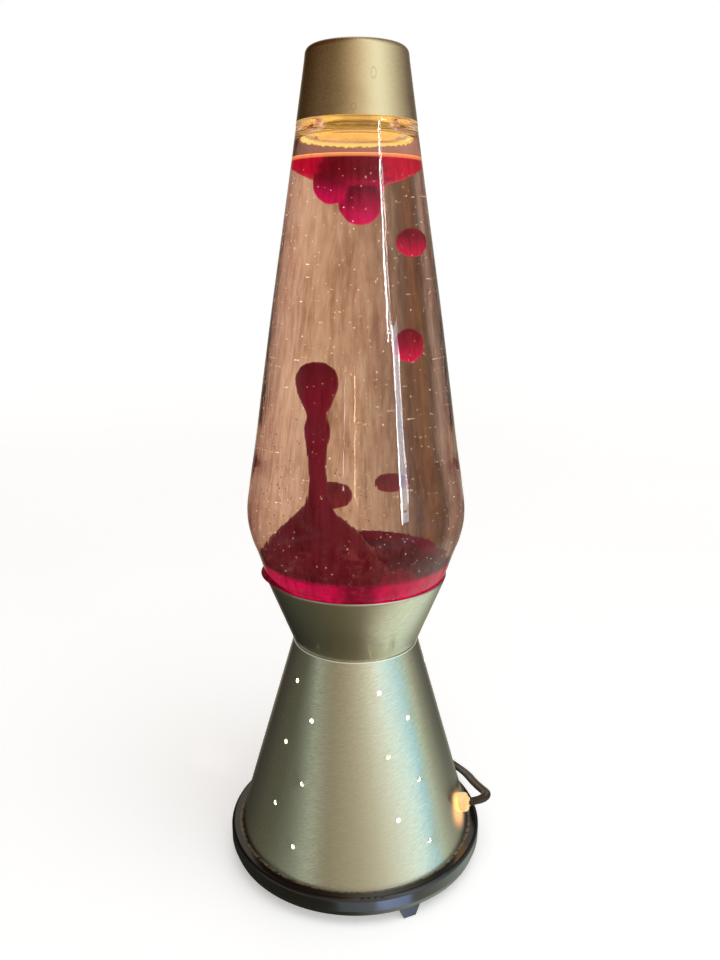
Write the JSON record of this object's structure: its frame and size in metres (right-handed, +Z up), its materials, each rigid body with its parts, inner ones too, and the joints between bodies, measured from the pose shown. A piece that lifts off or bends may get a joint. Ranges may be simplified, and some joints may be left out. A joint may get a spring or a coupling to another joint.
{
  "type": "lava lamp",
  "caption": "Lamp with a tapered glass bottle of liquid and wax on an hourglass metal base, with a bulb inside, a metal cap, pinholes in the cone and a mains cord.",
  "frame": {"origin": "on the table surface, on the lamp's axis, under the foot ring", "axes": "+Z up along the lamp's axis, -Y to the front, +X to the right, where the cord leaves"},
  "size_m": [0.1511, 0.248, 0.432],
  "materials": {
    "ring_plastic": "polished black moulding",
    "spun_metal": "brushed champagne lacquer",
    "cap_metal": "satin gold lacquer",
    "plate_steel": "black painted",
    "zinc_steel": "zinc plated",
    "rivet_metal": "plain",
    "gasket": "pressed fibre",
    "holder_moulding": "dark heat-resisting moulding",
    "brass": "plain",
    "solder": "dull",
    "insulator_glass": "dark glass bead",
    "cap_tin": "rolled",
    "bulb_glass": "clear",
    "stem_glass": "clear",
    "wire_steel": "plain wire",
    "bushing_nylon": "translucent natural nylon",
    "lead_jacket": "smooth",
    "cord_jacket": "smooth dark brown",
    "globe_glass": "clear, thick",
    "closure_tin": "lacquered",
    "liner": "soft",
    "wax": "smooth, slightly translucent",
    "liquid": "clear, faintly rose brown",
    "filament": "glowing coiled wire"
  },
  "bodies": {
    "base": {"base_ring": "ring_plastic", "bottom_plate": "plate_steel", "bottom_plate_screws": "zinc_steel", "bracket_rivets": "rivet_metal", "globe_gasket": "gasket", "inner_leads": "lead_jacket", "lampholder_body": "holder_moulding", "lampholder_centre_contact": "brass", "lampholder_screw": "zinc_steel", "lampholder_screw_shell": "brass", "lower_cone": "spun_metal", "plug_blades": "brass", "plug_body": "cord_jacket", "power_cord": "cord_jacket", "power_cord_coil": "cord_jacket", "power_cord_tail": "cord_jacket", "socket_bracket": "zinc_steel", "strain_relief": "bushing_nylon", "terminal_screws": "brass", "upper_cup": "spun_metal", "waist_rivets": "rivet_metal"},
    "globe": {"globe_glass": "globe_glass", "crown_closure": "closure_tin", "crown_liner": "liner", "heating_coil": "wire_steel", "wax_pool_and_column": "wax", "wax_hanging_mass": "wax", "lamp_liquid": "liquid"},
    "cap": {"top_cap": "cap_metal"},
    "bulb": {"bulb_contact_tip": "solder", "bulb_insulator": "insulator_glass", "bulb_screw_cap": "cap_tin", "bulb_envelope": "bulb_glass", "bulb_stem": "stem_glass", "bulb_support_wires": "wire_steel", "bulb_filament": "filament"},
    "wax_drop_upper": {"wax_drop_upper": "wax"},
    "wax_drop_middle": {"wax_drop_middle": "wax"},
    "wax_drop_rear_right": {"wax_drop_rear_right": "wax"},
    "wax_drop_rear_left": {"wax_drop_rear_left": "wax"}
  },
  "joints": [
    {"name": "globe_lift", "type": "slide", "parent": "base", "child": "globe", "axis": [0, 0, 1], "range_m": [0, 0.12]},
    {"name": "cap_lift", "type": "slide", "parent": "globe", "child": "cap", "axis": [0, 0, 1], "range_m": [0, 0.06]},
    {"name": "bulb_turn", "type": "hinge", "parent": "base", "child": "bulb", "pos_m": [0, 0, 0.05], "axis": [0, 0, 1], "range_deg": [0, 1080]},
    {"name": "wax_drop_upper_float", "type": "slide", "parent": "globe", "child": "wax_drop_upper", "axis": [0, 0, 1], "range_m": [-0.015, 0.018], "deforming": ["lamp_liquid"]},
    {"name": "wax_drop_middle_float", "type": "slide", "parent": "globe", "child": "wax_drop_middle", "axis": [0, 0, 1], "range_m": [-0.06, 0.015], "deforming": ["lamp_liquid"]},
    {"name": "wax_drop_rear_right_float", "type": "slide", "parent": "globe", "child": "wax_drop_rear_right", "axis": [0, 0, 1], "range_m": [-0.012, 0.06], "deforming": ["lamp_liquid"]},
    {"name": "wax_drop_rear_left_float", "type": "slide", "parent": "globe", "child": "wax_drop_rear_left", "axis": [0, 0, 1], "range_m": [-0.005, 0.06], "deforming": ["lamp_liquid"]}
  ]
}
